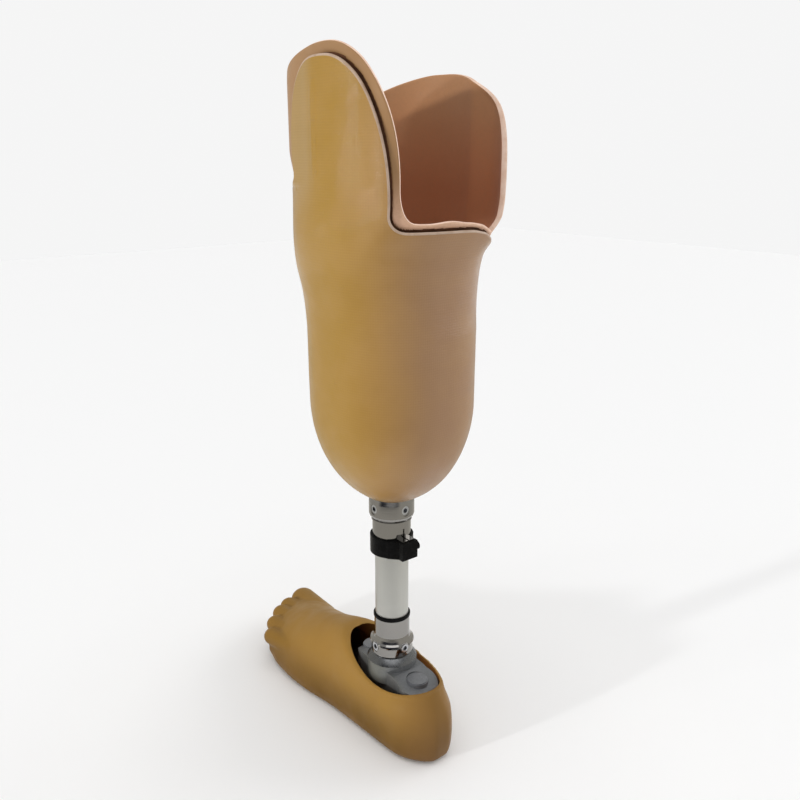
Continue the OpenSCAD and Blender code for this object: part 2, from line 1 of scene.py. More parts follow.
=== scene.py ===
"""Looks of the below-knee prosthetic leg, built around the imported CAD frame.

Shapes are computed in millimetres, as the CAD model is, and enter Blender in metres.
"""
import json
import math

import bmesh
import bpy
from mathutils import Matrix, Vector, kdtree, noise


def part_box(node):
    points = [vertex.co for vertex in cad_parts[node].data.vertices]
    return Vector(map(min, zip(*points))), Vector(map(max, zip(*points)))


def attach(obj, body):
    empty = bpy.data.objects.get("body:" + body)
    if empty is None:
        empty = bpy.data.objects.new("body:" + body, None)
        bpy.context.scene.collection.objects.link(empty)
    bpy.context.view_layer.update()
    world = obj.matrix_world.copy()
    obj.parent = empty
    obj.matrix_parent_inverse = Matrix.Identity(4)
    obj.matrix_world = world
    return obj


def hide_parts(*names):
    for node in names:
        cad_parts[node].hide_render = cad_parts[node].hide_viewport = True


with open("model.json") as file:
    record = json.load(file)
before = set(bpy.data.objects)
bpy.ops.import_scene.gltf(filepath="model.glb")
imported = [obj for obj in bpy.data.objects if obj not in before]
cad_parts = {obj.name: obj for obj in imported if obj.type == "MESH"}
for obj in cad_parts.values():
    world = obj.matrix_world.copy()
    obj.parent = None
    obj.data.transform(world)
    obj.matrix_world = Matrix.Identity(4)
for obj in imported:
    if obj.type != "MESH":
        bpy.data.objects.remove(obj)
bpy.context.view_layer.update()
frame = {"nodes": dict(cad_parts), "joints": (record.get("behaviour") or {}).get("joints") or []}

MM = 0.001


def joint_z(name):
    """Height of a joint's centre in the frame, in millimetres."""
    return next(row["pos_m"][2] for row in frame["joints"] if row["name"] == name) / MM


ankle_z = joint_z("ankle_tilt")
socket_foot_z = joint_z("socket_tilt") - 26.2  # level that the socket's heights are measured from


# ---------------------------------------------------------------- numbers and curves

def mix(a, b, t):
    return a + (b - a) * t


def ease(t):
    t = min(1.0, max(0.0, t))
    return t * t * (3 - 2 * t)


def curve_at(keys, x):
    """Smooth curve through (position, value) keys."""
    x = min(keys[-1][0], max(keys[0][0], x))
    i = 0
    while i < len(keys) - 2 and x >= keys[i + 1][0]:
        i += 1

    def slope(k):
        a, b = max(0, k - 1), min(len(keys) - 1, k + 1)
        return (keys[b][1] - keys[a][1]) / (keys[b][0] - keys[a][0])

    w = keys[i + 1][0] - keys[i][0]
    t = (x - keys[i][0]) / w
    return (
        keys[i][1] * (1 + 2 * t) * (1 - t) ** 2
        + slope(i) * w * t * (1 - t) ** 2
        + keys[i + 1][1] * t * t * (3 - 2 * t)
        - slope(i + 1) * w * t * t * (1 - t)
    )


def bell(x, centre, width):
    return math.exp(-(((x - centre) / width) ** 2))


# ---------------------------------------------------------------- mesh helpers

def new_piece(name, points, faces):
    """Smooth-shaded mesh object from points in millimetres."""
    mesh = bpy.data.meshes.new(name)
    mesh.from_pydata([(x * MM, y * MM, z * MM) for x, y, z in points], [], faces)
    mesh.validate()
    obj = bpy.data.objects.new(name, mesh)
    bpy.context.scene.collection.objects.link(obj)
    bm = bmesh.new()
    bm.from_mesh(mesh)
    bmesh.ops.recalc_face_normals(bm, faces=bm.faces)
    bm.to_mesh(mesh)
    bm.free()
    mesh.polygons.foreach_set("use_smooth", [True] * len(mesh.polygons))
    return obj


def loop_faces(rows, cols):
    """Quads of a torus-like grid: rows close on themselves, and so do columns."""
    faces = []
    for r in range(rows):
        a, b = r * cols, ((r + 1) % rows) * cols
        for c in range(cols):
            d = (c + 1) % cols
            faces.append((a + c, a + d, b + d, b + c))
    return faces


def stack_faces(rows, cols):
    """Quads of a stack of closed rings, with a fan to a hub point at each end."""
    faces = []
    for r in range(rows - 1):
        a, b = r * cols, (r + 1) * cols
        for c in range(cols):
            d = (c + 1) % cols
            faces.append((a + c, a + d, b + d, b + c))
    first, last = rows * cols, rows * cols + 1
    for c in range(cols):
        d = (c + 1) % cols
        faces.append((first, d, c))
        faces.append((last, (rows - 1) * cols + c, (rows - 1) * cols + d))
    return faces


def centre(ring):
    n = len(ring)
    return tuple(sum(p[i] for p in ring) / n for i in range(3))


def paint_faces(obj, materials, choose):
    """Give each face the material that choose(face index) names by number."""
    for m in materials:
        obj.data.materials.append(m)
    for poly in obj.data.polygons:
        poly.material_index = choose(poly.index)


# ---------------------------------------------------------------- node helpers

class Shader:
    """Short hand for building a material's nodes."""

    def __init__(self, name):
        self.material = bpy.data.materials.new(name)
        self.material.use_nodes = True
        self.nodes = self.material.node_tree.nodes
        self.links = self.material.node_tree.links
        self.bsdf = self.nodes["Principled BSDF"]
        self.place = self.nodes.new("ShaderNodeTexCoord").outputs["Object"]

    def put(self, kind, **inputs):
        node = self.nodes.new("ShaderNode" + kind)
        for key, value in inputs.items():
            self.set(node.inputs[key.replace("_", " ")], value)
        return node

    def set(self, socket, value):
        if isinstance(value, bpy.types.NodeSocket):
            self.links.new(value, socket)
        elif isinstance(value, tuple) and len(value) == 3 and socket.type == "RGBA":
            socket.default_value = (*value, 1)
        else:
            socket.default_value = value

    def shade(self, **inputs):
        for key, value in inputs.items():
            self.set(self.bsdf.inputs[key.replace("_", " ")], value)

    def maths(self, operation, a, b=0.0, c=0.0):
        node = self.nodes.new("ShaderNodeMath")
        node.operation = operation
        for socket, value in zip(node.inputs, (a, b, c)):
            self.set(socket, value)
        return node.outputs[0]

    def fade(self, value, low, high, out_low=0.0, out_high=1.0):
        node = self.put("MapRange", Value=value)
        node.interpolation_type = "SMOOTHSTEP"
        for key, number in (("From Min", low), ("From Max", high), ("To Min", out_low), ("To Max", out_high)):
            self.set(node.inputs[key], number)
        return node.outputs[0]

    def blend(self, factor, a, b):
        node = self.nodes.new("ShaderNodeMix")
        node.data_type = "RGBA"
        self.set(node.inputs[0], factor)
        self.set(node.inputs[6], a)
        self.set(node.inputs[7], b)
        return node.outputs[2]

    def noise(self, scale, detail=3.0, rough=0.5, vector=None):
        node = self.put("TexNoise", Scale=scale, Detail=detail, Roughness=rough)
        self.links.new(vector or self.place, node.inputs["Vector"])
        return node.outputs[0]

    def stretched(self, x, y, z):
        node = self.put("Mapping", Scale=(x, y, z))
        self.links.new(self.place, node.inputs["Vector"])
        return node.outputs[0]

    def axes(self):
        node = self.nodes.new("ShaderNodeSeparateXYZ")
        self.links.new(self.place, node.inputs[0])
        return node.outputs

    def bump(self, height, distance, strength=1.0, under=None):
        node = self.put("Bump", Height=height, Distance=distance, Strength=strength)
        if under is not None:
            self.links.new(under, node.inputs["Normal"])
        return node.outputs[0]


def srgb(r, g, b):
    """Linear colour from 0-255 display values."""
    def line(v):
        v /= 255
        return v / 12.92 if v <= 0.04045 else ((v + 0.055) / 1.055) ** 2.4
    return (line(r), line(g), line(b))


# ---------------------------------------------------------------- materials

def knit(s):
    """Height of a knitted stocking: rows of small Vs round the axis."""
    wales, course = 230, 0.002  # stitches round the socket, and metres between rows
    x, y, z = s.axes()
    turn = s.maths("ARCTAN2", y, x)
    across = s.maths("SINE", s.maths("MULTIPLY", turn, wales))
    lean = s.maths("MULTIPLY", s.maths("ABSOLUTE", across), 0.45)
    rise = s.maths("SINE", s.maths("MULTIPLY_ADD", z, 2 * math.pi / course, s.maths("MULTIPLY", lean, 6)))
    return s.maths("MULTIPLY_ADD", across, 0.5, rise)


def laminate(name, warm, pink, grey):
    """Skin-coloured resin over knitted stocking: ochre outside, pinkish behind, and a painted grey reflection
    at the front edge.
    """
    s = Shader(name)
    x, y, z = s.axes()
    side = s.maths("MULTIPLY_ADD", x, 0.78, s.maths("MULTIPLY", y, -0.62))
    turn = s.fade(s.maths("MULTIPLY_ADD", s.noise(9, 2), 0.03, side), -0.035, 0.06)
    base = s.blend(turn, warm, pink)
    # painted reflection: the upper front edge is blended towards grey
    ahead = s.maths("MULTIPLY", s.fade(y, -0.004, 0.012), s.fade(z, 0.46, 0.52))
    base = s.blend(s.maths("MULTIPLY", ahead, 0.75), base, grey)
    cloud = s.fade(s.noise(26, 4, 0.55), 0.35, 0.7)
    base = s.blend(s.maths("MULTIPLY", cloud, 0.18), base, srgb(182, 144, 90))
    weave = knit(s)
    base = s.blend(s.fade(weave, -1.2, 1.2, 0.0, 0.1), base, srgb(110, 80, 38))
    s.shade(Base_Color=base, Roughness=s.fade(s.noise(60, 3), 0.3, 0.7, 0.34, 0.46))
    s.shade(Specular_IOR_Level=0.2, Coat_Weight=0.45, Coat_Roughness=0.06)
    normal = s.bump(s.noise(40, 4), 0.0005, 0.25, s.bump(weave, 0.00003, 0.6))
    s.shade(Normal=normal, Coat_Normal=s.bump(weave, 0.00004, 1.0))
    return s.material


def cut_edge(name, colour, other):
    """Ground edge of the laminate or the liner: pale, matt and slightly uneven; in dark brown it is also the
    painted shade in the liner's groove.
    """
    s = Shader(name)
    spots = s.fade(s.noise(120, 4, 0.6), 0.4, 0.7)
    s.shade(Base_Color=s.blend(spots, colour, other), Roughness=0.6)
    s.shade(Normal=s.bump(s.noise(500, 3), 0.00012, 0.4))
    return s.material


def foam_skin(name, low_colour, high_colour, fade_low, fade_high):
    """Smooth skin of the soft liner."""
    s = Shader(name)
    x, y, z = s.axes()
    height = s.maths("MULTIPLY_ADD", s.noise(14, 2), 0.03, z)
    base = s.blend(s.fade(height, fade_low, fade_high), low_colour, high_colour)
    speck = s.fade(s.noise(420, 3, 0.65), 0.35, 0.75, 0.0, 0.2)
    base = s.blend(speck, base, srgb(150, 112, 80))
    s.shade(Base_Color=base, Roughness=s.fade(s.noise(90, 3), 0.3, 0.7, 0.5, 0.66))
    s.shade(Sheen_Weight=0.15, Sheen_Roughness=0.5)
    normal = s.bump(s.noise(900, 2), 0.00008, 0.35)
    s.shade(Normal=s.bump(s.noise(30, 3), 0.0006, 0.2, normal))
    return s.material


def foot_skin(name, top, side, heel):
    """Moulded foot cover: satin, slightly mottled, darker towards the sole."""
    s = Shader(name)
    x, y, z = s.axes()
    base = s.blend(s.fade(z, 0.012, 0.055), side, top)
    back = s.fade(s.maths("MULTIPLY_ADD", s.noise(18, 2), 0.02, y), -0.015, -0.07)
    base = s.blend(s.maths("MULTIPLY", back, 0.8), base, heel)
    cloud = s.fade(s.noise(24, 4, 0.6), 0.3, 0.75, 0.0, 0.3)
    base = s.blend(cloud, base, srgb(138, 102, 48))
    s.shade(Base_Color=base, Roughness=s.fade(s.noise(70, 4), 0.3, 0.7, 0.36, 0.5))
    s.shade(Specular_IOR_Level=0.15)
    fine = s.bump(s.noise(1400, 3, 0.6), 0.00006, 0.35)
    s.shade(Normal=s.bump(s.noise(60, 4), 0.0005, 0.18, fine))
    return s.material


def metal(name, colour, rough, stained, grain=(300, 300, 300)):
    """Turned or polished metal; grain gives the stretch of the tool marks."""
    s = Shader(name)
    marks = s.noise(1.0, 3, 0.6, s.stretched(*grain))
    stain = s.fade(s.noise(55, 4, 0.6), 0.35, 0.75, 0.0, stained)
    base = s.blend(stain, colour, tuple(c * 0.72 for c in colour))
    low, high = rough
    s.shade(Base_Color=base, Metallic=1.0, Roughness=s.fade(marks, 0.3, 0.7, low, high))
    s.shade(Normal=s.bump(marks, 0.00002, 0.3))
    return s.material


def casting(name, colour, painted_reflection_tint):
    """Grey coated casting with a faint painted greenish reflection on its lateral flank."""
    s = Shader(name)
    x, y, z = s.axes()
    # painted reflection: the lateral flank, at negative x, is blended towards a greenish grey
    reflection_flank = s.fade(s.maths("MULTIPLY_ADD", s.noise(30, 3), 0.02, x), 0.0, -0.022)
    base = s.blend(s.maths("MULTIPLY", reflection_flank, 0.55), colour, painted_reflection_tint)
    base = s.blend(s.fade(s.noise(500, 3), 0.35, 0.7, 0, 0.25), base, tuple(c * 0.6 for c in colour))
    s.shade(Base_Color=base, Metallic=0.65, Roughness=s.fade(s.noise(200, 3), 0.3, 0.7, 0.34, 0.5))
    s.shade(Normal=s.bump(s.noise(1200, 3), 0.00009, 0.4))
    return s.material


def black_plastic(name, rough):
    """Black coating or rubber with faint rub marks."""
    s = Shader(name)
    black, rubbed = (0.003, 0.003, 0.003), (0.009, 0.009, 0.009)
    rub = s.fade(s.noise(130, 4, 0.6), 0.45, 0.75, 0.0, 0.5)
    s.shade(Base_Color=s.blend(rub, black, rubbed), Specular_IOR_Level=0.06)
    s.shade(Roughness=s.fade(s.noise(220, 3), 0.3, 0.7, rough, rough + 0.14))
    s.shade(Normal=s.bump(s.noise(700, 2), 0.00006, 0.3))
    return s.material


def carbon_weave(name):
    """Twill carbon plate under clear resin."""
    s = Shader(name)
    x, y, z = s.axes()
    tows = 1570  # radians per metre across the tows, which are 2 mm wide
    a = s.maths("SINE", s.maths("MULTIPLY", s.maths("ADD", x, y), tows))
    b = s.maths("SINE", s.maths("MULTIPLY", s.maths("SUBTRACT", x, y), tows))
    twill = s.maths("MULTIPLY", a, b)
    s.shade(Base_Color=s.blend(s.fade(twill, -0.4, 0.4), (0.008, 0.008, 0.009), (0.04, 0.04, 0.045)))
    s.shade(Roughness=0.3, Coat_Weight=0.8, Coat_Roughness=0.08, Normal=s.bump(twill, 0.0001, 0.4))
    return s.material


M = {
    # the third colour is the painted grey reflection at the laminate's front edge
    "laminate": laminate("laminate_skin", srgb(161, 123, 42), srgb(158, 121, 88), srgb(166, 138, 90)),
    "laminate_inside": foam_skin("laminate_inside", srgb(96, 70, 48), srgb(96, 70, 48), 0.3, 0.5),
    "laminate_edge": cut_edge("laminate_edge", srgb(182, 158, 138), srgb(166, 140, 118)),
    # liner outside: the pinkish colour is the foam's own; the darker brown above about 0.5 m is painted shade
    # on the liner round the wings
    "liner": foam_skin("liner_outside", srgb(214, 172, 142), srgb(156, 118, 76), 0.49, 0.525),
    # dark brown painted shade for the liner's groove along the laminate's edge
    "liner_groove_painted_shade": cut_edge("liner_groove_painted_shade", srgb(112, 74, 50), srgb(84, 54, 36)),
    # liner inside: redder low down; the tan band above about 0.55 m is painted light on the upper inner wall
    "liner_inside": foam_skin("liner_inside", srgb(178, 114, 76), srgb(174, 128, 88), 0.5, 0.6),
    "liner_edge": cut_edge("liner_edge", srgb(240, 210, 190), srgb(228, 192, 168)),
    "gel": foam_skin("gel_pad", srgb(214, 184, 150), srgb(226, 198, 164), 0.26, 0.28),
    "foot": foot_skin("foot_cover", srgb(152, 115, 52), srgb(100, 71, 20), srgb(116, 84, 48)),
    "foot_inside": foot_skin("foot_inside", srgb(200, 130, 70), srgb(150, 95, 50), srgb(160, 96, 50)),
    "polished": metal("polished_steel", (0.31, 0.3, 0.285), (0.06, 0.12), 0.1, (40, 40, 900)),
    "screw": metal("set_screw_steel", (0.5, 0.51, 0.53), (0.12, 0.25), 0.3),
    "tube": metal("satin_tube", (0.54, 0.54, 0.51), (0.34, 0.44), 0.08, (900, 900, 12)),
    "dark": metal("dark_steel", (0.16, 0.165, 0.17), (0.22, 0.38), 0.4),
    # the second colour of each casting is its painted reflection on the lateral flank
    "cast": casting("grey_casting", srgb(124, 126, 128), srgb(112, 108, 44)),
    "cap": casting("grey_plug", srgb(136, 138, 142), srgb(124, 124, 106)),
    "band": black_plastic("black_band", 0.2),
    "seal": black_plastic("black_rubber", 0.24),
    "carbon": carbon_weave("carbon_plate"),
}


# ---------------------------------------------------------------- socket and liner shapes

calf_z = socket_foot_z + 94
brim_z = socket_foot_z + 212
notch_z = socket_foot_z + 242
front_z = socket_foot_z + 299
lateral_top = socket_foot_z + 365
medial_top = socket_foot_z + 351
calf_size = 70
laminate_t = 3.5
liner_inset = 5
liner_gap = 0.6
liner_t = 5.5

# Depth of the rounded lower ends below the calf, and their thickness
shell_cap = 94
shell_floor_t = 6.5
shell_hole_r = 27
liner_cap = 71
liner_floor_t = 8
liner_hub_r = 4

# Brims: front flank as (bearing, bow, fillet, height), rear flank of the medial wing as a bearing
shell_tuck = 4.5
shell_drop = 10.6
shell_fore, shell_back = (114, 0.6, 16, front_z - 36), 296
liner_fore, liner_back = (150, 0.95, 8, front_z), 312
brim_columns = 420
lateral_peak = 82
medial_peak = 250

size_keys = [
    (calf_z, calf_size), (calf_z + 70, calf_size + 0.5), (calf_z + 90, calf_size + 1.8),
    (calf_z + 110, calf_size + 4.8), (calf_z + 130, calf_size + 8), (calf_z + 165, calf_size + 10.5),
    (calf_z + 280, calf_size + 10.5),
]
shift_keys = [
    (calf_z + 60, 0), (calf_z + 90, -1.5), (calf_z + 110, -2.6), (calf_z + 130, -1),
    (calf_z + 165, 2), (calf_z + 280, 2),
]


def section(z, inset, cap):
    if z < calf_z:
        return (calf_size - inset) * math.sqrt(max(0, 1 - ((calf_z - z) / cap) ** 2))
    return curve_at(size_keys, z) - inset


def brim_flare(bearing, z):
    """Flare behind the knee, at the medial wing's rear edge, and at the lateral wing's front."""
    away = min(bearing, 0.8 * (359.5 - bearing))
    behind = 9 * ease((58 - away) / 20) + 5 * ease((bearing - 286) / 18) * ease((345 - bearing) / 20)
    ahead = 7 * ease((bearing - 100) / 32) * ease((180 - bearing) / 30)
    ahead *= 1 - 0.5 * ease((z - front_z - 40) / 45)
    step = 0.55 * ease((z - front_z + 36) / 6) + 0.45 * ease((z - front_z + 30) / 24)
    return behind * ease((z - brim_z) / 32) + ahead * step


def wall_point(bearing, z, inset, cap):
    """Point on the socket; bearing runs from behind the knee towards the lateral side."""
    c, d = -math.sin(math.radians(bearing)), -math.cos(math.radians(bearing))
    oval = (abs(c) / 0.905) ** 2.4 + (abs(d) / 0.975) ** 2.4
    r = oval ** (-1 / 2.4) * section(z, inset, cap) + brim_flare(bearing % 360, z)
    shift = curve_at(shift_keys, z)
    return Vector((r * c + shift * 0.78, r * d - shift * 0.62, z))


def flank(edge, peak, low, high, bow, fillet_a, fillet_h):
    """One flank of a wing: a concave fillet at the foot, then a superellipse arch up to the peak."""
    side = 1 if peak > edge else -1
    line = []
    for a in range(0, 90, 10):
        s, c = math.sin(math.radians(a)), math.cos(math.radians(a))
        line.append((edge - side * fillet_a * (1 - s), low + fillet_h * (1 - c)))
    for a in [0, 0.3, 1, 2] + list(range(4, 88, 3)):
        s, c = math.sin(math.radians(a)), math.cos(math.radians(a))
        line.append((peak - (peak - edge) * c ** bow, low + fillet_h + (high - low - fillet_h) * s ** bow))
    return line


def brim(tuck, drop, fore, back):
    """The brim as equally spaced (bearing, height) points, starting behind the knee."""
    low, outer, inner = notch_z - 0.7 * drop, lateral_top - drop, medial_top - drop
    edge, bow, fillet, front = fore
    line = [(0, low), (9, low), (18, low)]
    line += flank(36 + tuck, lateral_peak, low, outer, 0.86, 10, 24 - drop)
    line += [(lateral_peak, outer)]
    line += flank(edge, lateral_peak, front, outer, bow, fillet, 10)[::-1]
    line += [(a, front) for a in range(136, 177, 8) if a > edge + fillet + 2]
    line += flank(186 + tuck, medial_peak, front, inner, 1.2, 8, 10)
    line += [(medial_peak, inner)]
    line += flank(back, medial_peak, low - 13, inner, 0.6, 6, 14)[::-1]
    line += [(322, low - 13), (331, low - 8), (340, low - 3), (350, low - 0.5), (360, low)]
    along = [0.0]
    degree_mm = 1.25
    for a, b in zip(line, line[1:]):
        along.append(along[-1] + math.hypot((b[0] - a[0]) * degree_mm, b[1] - a[1]))
    points, k = [], 0
    for i in range(brim_columns):
        want = along[-1] * i / brim_columns
        while along[k + 1] < want:
            k += 1
        t = (want - along[k]) / (along[k + 1] - along[k])
        points.append((mix(line[k][0], line[k + 1][0], t), mix(line[k][1], line[k + 1][1], t)))
    return smooth_line(points, 3)


def smooth_line(points, times):
    """Round off a closed (bearing, height) line without moving its start over the seam."""
    n = len(points)

    def wrapped(i):
        return points[i % n][0] + 360 * (i // n), points[i % n][1]

    for _ in range(times):
        points = [
            tuple((wrapped(i - 1)[k] + 2 * wrapped(i)[k] + wrapped(i + 1)[k]) / 4 for k in (0, 1))
            for i in range(n)
        ]
    return points


def wall_rows(line, inset, cap, rows, detail):
    """Rings from the calf up to the brim; columns turn from even spacing to the brim's own."""
    n = len(line)
    rings = []
    for r in range(rows):
        w = r / (rows - 1)
        ring = []
        for i, (bearing, top) in enumerate(line):
            turned = mix(i * 360 / n, bearing, ease(w * 1.6))
            z = mix(calf_z, top, w)
            ring.append(detail(wall_point(turned, z, inset, cap), turned, z))
        rings.append(ring)
    return rings


def cap_rows(line, inset, cap, start_r, rows, detail):
    """Rings of the rounded lower end, from radius start_r out to the calf."""
    n = len(line)
    first = math.degrees(math.asin(start_r / (calf_size - inset)))
    rings = []
    for r in range(rows):
        z = calf_z - cap * math.cos(math.radians(mix(first, 90, r / rows)))
        rings.append([detail(wall_point(i * 360 / n, z, inset, cap), i * 360 / n, z) for i in range(n)])
    return rings


def rim_rows(outer, inner, rows, bulge, square=1.0):
    """Rounded lip between the top rings of the two sides of a wall."""
    n = len(outer)
    rings = []
    for r in range(1, rows):
        a = math.pi * r / rows
        ring = []
        for i in range(n):
            p, q = outer[i], inner[i]
            along = (outer[(i + 1) % n] - outer[i - 1]).normalized()
            across = p - q
            out = along.cross(across).normalized()
            if out.dot(Vector((0, 0, 1))) < -0.2:
                out = -out
            c, s = math.cos(a), math.sin(a)
            c = math.copysign(abs(c) ** square, c)
            ring.append((p + q) / 2 + across / 2 * c + out * bulge * s ** square)
        rings.append(ring)
    return rings


def plain(point, bearing, z):
    return point


def shell_detail(point, bearing, z):
    """Soft ridge and faint seam on the outer wing, and the unevenness of a hand-made cast."""
    outward = Vector((point.x, point.y, 0)).normalized()
    up = z - socket_foot_z
    ridge_bearing = 91
    ridge = 1.2 * bell(bearing, ridge_bearing, 1.9) * ease((up - 262) / 25) * ease((344 - up) / 14)
    seam = 0.4 * bell(up, 316, 1.2) * ease((bearing - 56) / 5) * ease((ridge_bearing - bearing) / 5)
    wave = 0.25 * noise.noise(point * 0.02) + 0.1 * noise.noise(point * 0.07)
    return point + outward * (ridge - seam + wave)


def shell_brim():
    return brim(shell_tuck, shell_drop, shell_fore, shell_back)


def build_shell():
    """Laminated socket: outer and inner skin, joined by a ground edge above and open at the anchor below."""
    line = shell_brim()
    inner_cap = shell_cap - shell_floor_t
    outer = cap_rows(line, 0, shell_cap, shell_hole_r, 26, shell_detail)
    outer += wall_rows(line, 0, shell_cap, 110, shell_detail)
    inner = cap_rows(line, laminate_t, inner_cap, shell_hole_r, 16, shell_detail)
    inner += wall_rows(line, laminate_t, inner_cap, 70, shell_detail)
    lip = rim_rows(outer[-1], inner[-1], 8, laminate_t * 0.5, 0.75)
    rings = outer + lip + inner[::-1]
    obj = new_piece("socket_laminate", [p for r in rings for p in r], loop_faces(len(rings), len(line)))
    n = len(line)
    first_lip, last_lip = len(outer), len(outer) + len(lip)
    paint_faces(
        obj,
        [M["laminate"], M["laminate_edge"], M["laminate_inside"]],
        lambda i: 0 if i // n < first_lip - 1 else 1 if i // n <= last_lip else 2,
    )
    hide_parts("socket_shell")
    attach(obj, "socket")


def liner_detail(point, bearing, z):
    """Slight unevenness of the foam's inner face."""
    outward = Vector((point.x, point.y, 0)).normalized()
    return point + outward * (0.4 * noise.noise(point * 0.03))


def wavy(line):
    """Small waves in the trimmed edge behind the knee."""
    out = []
    for bearing, z in line:
        away = min(bearing, 360 - bearing)
        wave = math.sin(math.radians(bearing * 9 + 40)) + 0.5 * math.sin(math.radians(bearing * 17))
        out.append((bearing, z - 1.8 + 0.6 * wave * ease((66 - away) / 25) * ease((notch_z + 30 - z) / 30)))
    return out


def groove_liner(obj, outer_count):
    """Shallow groove in the foam along the rear and side edge of the laminate; the faces nearest that edge
    get a dark brown painted shade.
    """
    depth, reach_limit, painted_shade_reach, far = 1.6, 4.6, 3.7, 100.0
    line = shell_brim()
    edge = kdtree.KDTree(len(line))
    for i, (bearing, z) in enumerate(line):
        edge.insert(wall_point(bearing, z, laminate_t, shell_cap - shell_floor_t), i)
    edge.balance()
    reach = [far] * len(obj.data.vertices)
    for v in obj.data.vertices[:outer_count]:
        point = v.co / MM
        inward = Vector((-point.x, -point.y, 0)).normalized()
        if inward.y < 0:
            continue
        reach[v.index] = edge.find(point)[2]
        v.co += inward * depth * ease((reach_limit - reach[v.index]) / 2.4) * ease(inward.y / 0.25) * MM
    # faces near the laminate's edge are painted dark brown, as painted shade in the groove
    obj.data.materials.append(M["liner_groove_painted_shade"])
    for poly in obj.data.polygons:
        if sum(reach[k] for k in poly.vertices) / len(poly.vertices) < painted_shade_reach:
            poly.material_index = 3


def build_liner():
    """Foam liner: closed below, with a pale rounded lip round its brim."""
    line = wavy(brim(0, 0, liner_fore, liner_back))
    outer_inset, inner_inset = liner_inset + liner_gap, liner_inset + liner_t
    inner_cap = liner_cap - liner_floor_t
    outer = cap_rows(line, outer_inset, liner_cap, liner_hub_r, 22, plain)
    outer += wall_rows(line, outer_inset, liner_cap, 220, plain)
    inner = cap_rows(line, inner_inset, inner_cap, liner_hub_r, 22, plain)
    inner += wall_rows(line, inner_inset, inner_cap, 90, liner_detail)
    lip = rim_rows(outer[-1], inner[-1], 11, 1.9, 0.6)
    rings = outer + lip + inner[::-1]
    n = len(line)
    points = [p for r in rings for p in r] + [centre(rings[0]), centre(rings[-1])]
    obj = new_piece("liner_foam", points, stack_faces(len(rings), n))
    pale, inside = len(outer) + 1, len(outer) + 6
    paint_faces(
        obj,
        [M["liner"], M["liner_edge"], M["liner_inside"]],
        lambda i: 0 if i // n < pale else 1 if i // n <= inside else 2,
    )
    groove_liner(obj, len(outer) * n)
    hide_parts("soft_liner")
    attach(obj, "liner")


def end_pad_profile():
    """(radius, height) points of the round gel cushion: domed below, crowned above with moulded rings."""
    low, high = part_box("distal_end_pad")
    low, high = low / MM, high / MM
    radius = (high.x - low.x) / 2 - 0.3
    floor_r = 15.5
    profile = [(0.001, low.z + 0.1), (floor_r * 0.6, low.z + 0.3), (floor_r, low.z + 1.0)]
    for t in (0.2, 0.45, 0.7, 1):
        profile.append((mix(floor_r, radius, t ** 0.55), mix(low.z + 1.0, high.z - 1.6, t)))
    profile += [(radius - 0.9, high.z - 0.6)]
    for i in range(24):
        t = 1 - (i + 1) / 25
        moulded = 0.35 * (0.5 + 0.5 * math.cos(t * 25))
        profile.append((radius * t, high.z - 0.5 * t * t + 0.3 * (1 - t) - moulded - 0.2))
    return profile


def circle(radius, z, steps):
    turns = [2 * math.pi * i / steps for i in range(steps)]
    return [(radius * math.cos(a), radius * math.sin(a), z) for a in turns]


def lathe(name, profile):
    """Solid of revolution about the pylon axis from (radius, height) points, hubs at both ends."""
    steps = 96
    rings = [circle(r, z, steps) for r, z in profile]
    points = [p for ring in rings for p in ring] + [centre(rings[0]), centre(rings[-1])]
    return new_piece(name, points, stack_faces(len(rings), steps))


def build_pad():
    obj = lathe("end_cushion", end_pad_profile())
    obj.data.materials.append(M["gel"])
    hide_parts("distal_end_pad")
    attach(obj, "liner")


# ---------------------------------------------------------------- foot

foot_length = 302
heel_y = -72
tip_s = foot_length + heel_y - 21
sole_t = 6
sole_edge = 12
foot_cols = 160
foot_rows = 40

lateral_keys = [
    (heel_y, -22), (-45, -29), (10, -33), (60, -36.5), (105, -42.5), (140, -44.5), (tip_s, -41),
]
medial_keys = [(heel_y, 22), (-45, 30), (10, 31), (60, 32), (110, 40), (155, 48), (tip_s, 45)]
instep_keys = [
    (heel_y, 146), (-20, 146), (30, 118), (53, 86), (80, 74.5), (115, 63), (155, 49), (190, 39), (tip_s, 36),
]
skew_keys = [(40, 0), (120, 0.25), (tip_s, 0.66)]


def toe_spring(s):
    """Rise of the sole under the toes."""
    return 10 * ease((s - 135) / 80)


def end_fade(s, rear, front):
    """Rounds off the heel and the tip of the foot's outline."""
    if s < rear + 40:
        return max(0, 1 - ((rear + 40 - s) / 40) ** 2.3) ** (1 / 2.3)
    if s > front - 28:
        return max(0, 1 - ((s - front + 28) / 28) ** 2.8) ** (1 / 2.8)
    return 1


def side_x(keys, s, z, rear, front, inset):
    """Half width of the foot on one side, at place s along it and height z."""
    h = curve_at(instep_keys, s) - inset
    up = max(0, 1 - max(0, z / h) ** 2.6) ** (1 / 2.2)
    return max(0, abs(curve_at(keys, s)) - inset) * up * end_fade(s, rear, front)


